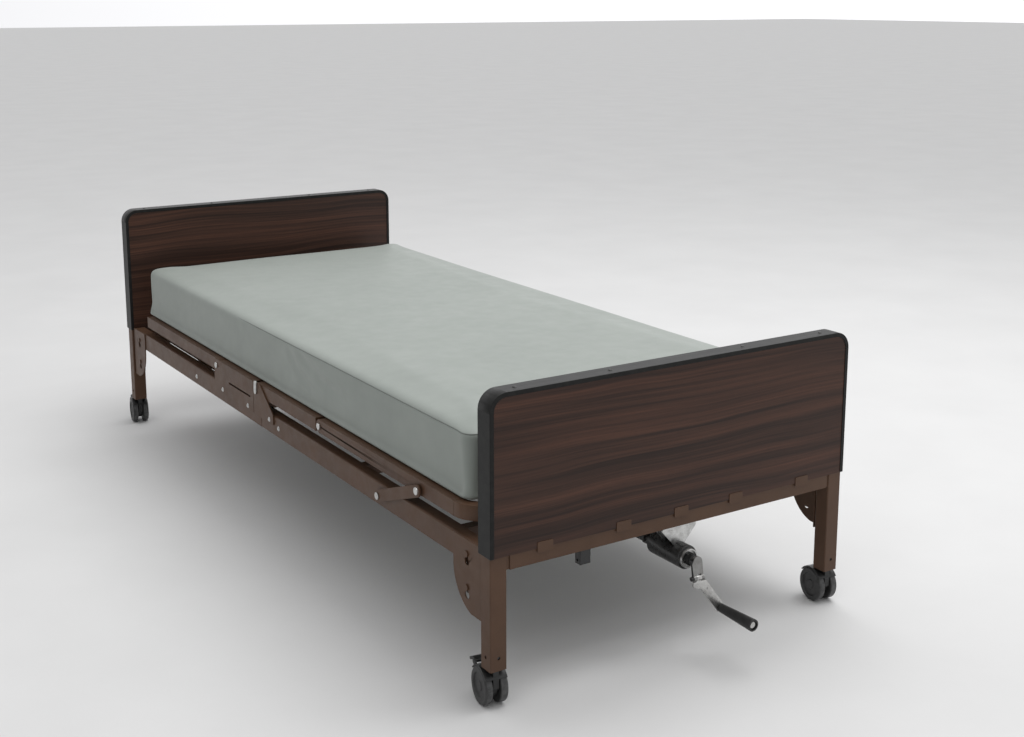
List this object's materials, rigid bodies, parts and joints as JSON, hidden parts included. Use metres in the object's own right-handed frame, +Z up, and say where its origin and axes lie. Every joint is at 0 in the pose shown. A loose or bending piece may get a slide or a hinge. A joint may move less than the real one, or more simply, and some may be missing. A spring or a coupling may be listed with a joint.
{
  "type": "adjustable hospital bed",
  "caption": "Homecare hospital bed with wood-grain ends, raising head and knee sections, crank-driven telescopic legs, foam mattress and twin-wheel casters.",
  "frame": {"origin": "centre of the bed's footprint on the floor, crank and casters included", "axes": "+Z up, +Y from the foot end to the head end, +X to the right seen from the foot"},
  "size_m": [0.9294, 2.4045, 0.6886],
  "materials": {
    "brown_powder_coat": "satin",
    "wood_laminate": "satin",
    "black_trim": "satin",
    "zinc_plate": "satin",
    "bright_steel": "satin",
    "machined_steel": "satin",
    "black_plastic": "matte",
    "grip_rubber": "matte",
    "tyre_grey": "satin",
    "housing_black": "satin",
    "mattress_cover": "satin",
    "dark_screw": "satin"
  },
  "bodies": {
    "bed_frame": {"outer_leg_tubes": "brown_powder_coat", "end_cross_rails": "brown_powder_coat", "foot_panel_boards": "wood_laminate", "head_panel_boards": "wood_laminate", "edge_trims": "black_trim", "trim_screws": "dark_screw", "panel_clips": "brown_powder_coat", "corner_gussets": "brown_powder_coat", "corner_brackets": "brown_powder_coat", "pole_sockets": "brown_powder_coat", "side_rails": "brown_powder_coat", "frame_cross_members": "brown_powder_coat", "pivot_side_plates": "brown_powder_coat", "pins_and_rivets": "zinc_plate", "seat_frame": "brown_powder_coat", "seat_wire_deck": "zinc_plate", "mattress_seat": "mattress_cover", "drive_unit_housing": "black_plastic", "actuator_tubes": "housing_black", "power_inlet": "black_plastic", "gearboxes": "housing_black", "gearbox_brackets": "zinc_plate", "rail_hanger_block": "black_plastic"},
    "backrest": {"backrest_frame": "brown_powder_coat", "backrest_wire_deck": "zinc_plate", "mattress_back": "mattress_cover"},
    "thigh_section": {"thigh_frame": "brown_powder_coat", "thigh_wire_deck": "zinc_plate", "mattress_thigh": "mattress_cover"},
    "calf_section": {"calf_frame": "brown_powder_coat", "calf_wire_deck": "zinc_plate", "mattress_calf": "mattress_cover"},
    "calf_link": {"calf_links": "brown_powder_coat"},
    "back_rod": {"back_push_rod": "bright_steel"},
    "knee_rod": {"knee_push_rod": "bright_steel"},
    "drive_line": {"drive_shaft": "machined_steel"},
    "crank_arm": {"crank_arm": "bright_steel"},
    "crank_grip": {"crank_grip": "grip_rubber"},
    "transfer_foot": {"transfer_shaft_foot": "machined_steel"},
    "cross_shaft_foot": {"cross_shaft_foot": "machined_steel"},
    "transfer_head": {"transfer_shaft_head": "machined_steel"},
    "cross_shaft_head": {"cross_shaft_head": "machined_steel"},
    "screw_foot_left": {"lift_screw_foot_left": "machined_steel"},
    "leg_foot_left": {"inner_leg_foot_left": "zinc_plate"},
    "swivel_foot_left": {"caster_hood_foot_left": "black_plastic"},
    "wheels_foot_left": {"caster_wheels_foot_left": "tyre_grey"},
    "screw_foot_right": {"lift_screw_foot_right": "machined_steel"},
    "leg_foot_right": {"inner_leg_foot_right": "zinc_plate"},
    "swivel_foot_right": {"caster_hood_foot_right": "black_plastic"},
    "wheels_foot_right": {"caster_wheels_foot_right": "tyre_grey"},
    "screw_head_left": {"lift_screw_head_left": "machined_steel"},
    "leg_head_left": {"inner_leg_head_left": "zinc_plate"},
    "swivel_head_left": {"caster_hood_head_left": "black_plastic"},
    "wheels_head_left": {"caster_wheels_head_left": "tyre_grey"},
    "screw_head_right": {"lift_screw_head_right": "machined_steel"},
    "leg_head_right": {"inner_leg_head_right": "zinc_plate"},
    "swivel_head_right": {"caster_hood_head_right": "black_plastic"},
    "wheels_head_right": {"caster_wheels_head_right": "tyre_grey"},
    "brake_foot_left": {"brake_pedal_foot_left": "black_plastic"},
    "brake_head_left": {"brake_pedal_head_left": "black_plastic"}
  },
  "joints": [
    {"name": "crank_turn", "type": "hinge", "parent": "bed_frame", "child": "drive_line", "pos_m": [0, -1.05, 0.219], "axis": [0, 1, 0], "range_deg": [0, 10080]},
    {"name": "crank_fold", "type": "hinge", "parent": "drive_line", "child": "crank_arm", "pos_m": [0.005, -1.1, 0.185], "axis": [1, 0, 0], "range_deg": [0, 90]},
    {"name": "grip_spin", "type": "hinge", "parent": "crank_arm", "child": "crank_grip", "pos_m": [0.066, -1.15, 0.106], "axis": [0, 1, 0], "continuous": true},
    {"name": "transfer_turn_foot", "type": "hinge", "parent": "bed_frame", "child": "transfer_foot", "pos_m": [0, -1.0283, 0.25], "axis": [0, 0, 1], "range_deg": [0, 10080]},
    {"name": "cross_turn_foot", "type": "hinge", "parent": "bed_frame", "child": "cross_shaft_foot", "pos_m": [0, -1.0283, 0.294], "axis": [1, 0, 0], "range_deg": [0, 10080]},
    {"name": "transfer_turn_head", "type": "hinge", "parent": "bed_frame", "child": "transfer_head", "pos_m": [0, 1.1163, 0.25], "axis": [0, 0, 1], "range_deg": [0, 10080]},
    {"name": "cross_turn_head", "type": "hinge", "parent": "bed_frame", "child": "cross_shaft_head", "pos_m": [0, 1.1163, 0.294], "axis": [1, 0, 0], "range_deg": [0, 10080]},
    {"name": "screw_turn_foot_left", "type": "hinge", "parent": "bed_frame", "child": "screw_foot_left", "pos_m": [-0.4362, -1.0283, 0.4], "axis": [0, 0, 1], "range_deg": [-10080, 0]},
    {"name": "leg_slide_foot_left", "type": "slide", "parent": "bed_frame", "child": "leg_foot_left", "axis": [0, 0, -1], "range_m": [0, 0.2245]},
    {"name": "screw_turn_foot_right", "type": "hinge", "parent": "bed_frame", "child": "screw_foot_right", "pos_m": [0.4362, -1.0283, 0.4], "axis": [0, 0, 1], "range_deg": [0, 10080]},
    {"name": "leg_slide_foot_right", "type": "slide", "parent": "bed_frame", "child": "leg_foot_right", "axis": [0, 0, -1], "range_m": [0, 0.2245]},
    {"name": "screw_turn_head_left", "type": "hinge", "parent": "bed_frame", "child": "screw_head_left", "pos_m": [-0.4362, 1.1163, 0.4], "axis": [0, 0, 1], "range_deg": [-10080, 0]},
    {"name": "leg_slide_head_left", "type": "slide", "parent": "bed_frame", "child": "leg_head_left", "axis": [0, 0, -1], "range_m": [0, 0.2245]},
    {"name": "screw_turn_head_right", "type": "hinge", "parent": "bed_frame", "child": "screw_head_right", "pos_m": [0.4362, 1.1163, 0.4], "axis": [0, 0, 1], "range_deg": [0, 10080]},
    {"name": "leg_slide_head_right", "type": "slide", "parent": "bed_frame", "child": "leg_head_right", "axis": [0, 0, -1], "range_m": [0, 0.2245]},
    {"name": "caster_swivel_foot_left", "type": "hinge", "parent": "leg_foot_left", "child": "swivel_foot_left", "pos_m": [-0.4362, -1.0283, 0.09], "axis": [0, 0, 1], "continuous": true},
    {"name": "wheel_spin_foot_left", "type": "hinge", "parent": "swivel_foot_left", "child": "wheels_foot_left", "pos_m": [-0.43342, -1.00849, 0.0375], "axis": [0.9903, -0.1392, 0], "continuous": true},
    {"name": "brake_pedal_foot_left", "type": "hinge", "parent": "swivel_foot_left", "child": "brake_foot_left", "pos_m": [-0.42827, -0.97186, 0.0705], "axis": [0.9903, -0.1392, 0], "range_deg": [0, 20]},
    {"name": "caster_swivel_foot_right", "type": "hinge", "parent": "leg_foot_right", "child": "swivel_foot_right", "pos_m": [0.4362, -1.0283, 0.09], "axis": [0, 0, 1], "continuous": true},
    {"name": "wheel_spin_foot_right", "type": "hinge", "parent": "swivel_foot_right", "child": "wheels_foot_right", "pos_m": [0.43898, -1.00849, 0.0375], "axis": [0.9903, -0.1392, 0], "continuous": true},
    {"name": "caster_swivel_head_left", "type": "hinge", "parent": "leg_head_left", "child": "swivel_head_left", "pos_m": [-0.4362, 1.1163, 0.09], "axis": [0, 0, 1], "continuous": true},
    {"name": "wheel_spin_head_left", "type": "hinge", "parent": "swivel_head_left", "child": "wheels_head_left", "pos_m": [-0.43342, 1.1361, 0.0375], "axis": [0.9903, -0.1392, 0], "continuous": true},
    {"name": "brake_pedal_head_left", "type": "hinge", "parent": "swivel_head_left", "child": "brake_head_left", "pos_m": [-0.42827, 1.17274, 0.0705], "axis": [0.9903, -0.1392, 0], "range_deg": [0, 20]},
    {"name": "caster_swivel_head_right", "type": "hinge", "parent": "leg_head_right", "child": "swivel_head_right", "pos_m": [0.4362, 1.1163, 0.09], "axis": [0, 0, 1], "continuous": true},
    {"name": "wheel_spin_head_right", "type": "hinge", "parent": "swivel_head_right", "child": "wheels_head_right", "pos_m": [0.43898, 1.1361, 0.0375], "axis": [0.9903, -0.1392, 0], "continuous": true},
    {"name": "back_raise", "type": "hinge", "parent": "bed_frame", "child": "backrest", "pos_m": [0, 0.367, 0.361], "axis": [1, 0, 0], "range_deg": [0, 65]},
    {"name": "thigh_raise", "type": "hinge", "parent": "bed_frame", "child": "thigh_section", "pos_m": [0, 0.09, 0.361], "axis": [-1, 0, 0], "range_deg": [0, 35]},
    {"name": "calf_bend", "type": "hinge", "parent": "thigh_section", "child": "calf_section", "pos_m": [0, -0.28, 0.361], "axis": [1, 0, 0], "range_deg": [0, 49.2]},
    {"name": "link_swing", "type": "hinge", "parent": "bed_frame", "child": "calf_link", "pos_m": [0, -0.587, 0.29], "axis": [-1, 0, 0], "range_deg": [0, 40.2]},
    {"name": "back_rod_slide", "type": "slide", "parent": "bed_frame", "child": "back_rod", "axis": [0, 1, 0], "range_m": [0, 0.1187]},
    {"name": "knee_rod_slide", "type": "slide", "parent": "bed_frame", "child": "knee_rod", "axis": [0, -1, 0], "range_m": [0, 0.0667]}
  ],
  "couplings": [
    {"joint": "transfer_turn_foot", "follows": "crank_turn", "ratio": 1},
    {"joint": "cross_turn_foot", "follows": "crank_turn", "ratio": 1},
    {"joint": "transfer_turn_head", "follows": "crank_turn", "ratio": 1},
    {"joint": "cross_turn_head", "follows": "crank_turn", "ratio": 1},
    {"joint": "screw_turn_foot_left", "follows": "crank_turn", "ratio": -1},
    {"joint": "leg_slide_foot_left", "follows": "crank_turn", "m_per_rad": 0.0012732},
    {"joint": "screw_turn_foot_right", "follows": "crank_turn", "ratio": 1},
    {"joint": "leg_slide_foot_right", "follows": "crank_turn", "m_per_rad": 0.0012732},
    {"joint": "screw_turn_head_left", "follows": "crank_turn", "ratio": -1},
    {"joint": "leg_slide_head_left", "follows": "crank_turn", "m_per_rad": 0.0012732},
    {"joint": "screw_turn_head_right", "follows": "crank_turn", "ratio": 1},
    {"joint": "leg_slide_head_right", "follows": "crank_turn", "m_per_rad": 0.0012732},
    {"joint": "calf_bend", "follows": "thigh_raise", "ratio": 1.3954},
    {"joint": "link_swing", "follows": "thigh_raise", "ratio": 1.139},
    {"joint": "back_rod_slide", "follows": "back_raise", "m_per_rad": 0.10419},
    {"joint": "knee_rod_slide", "follows": "thigh_raise", "m_per_rad": 0.1083}
  ]
}
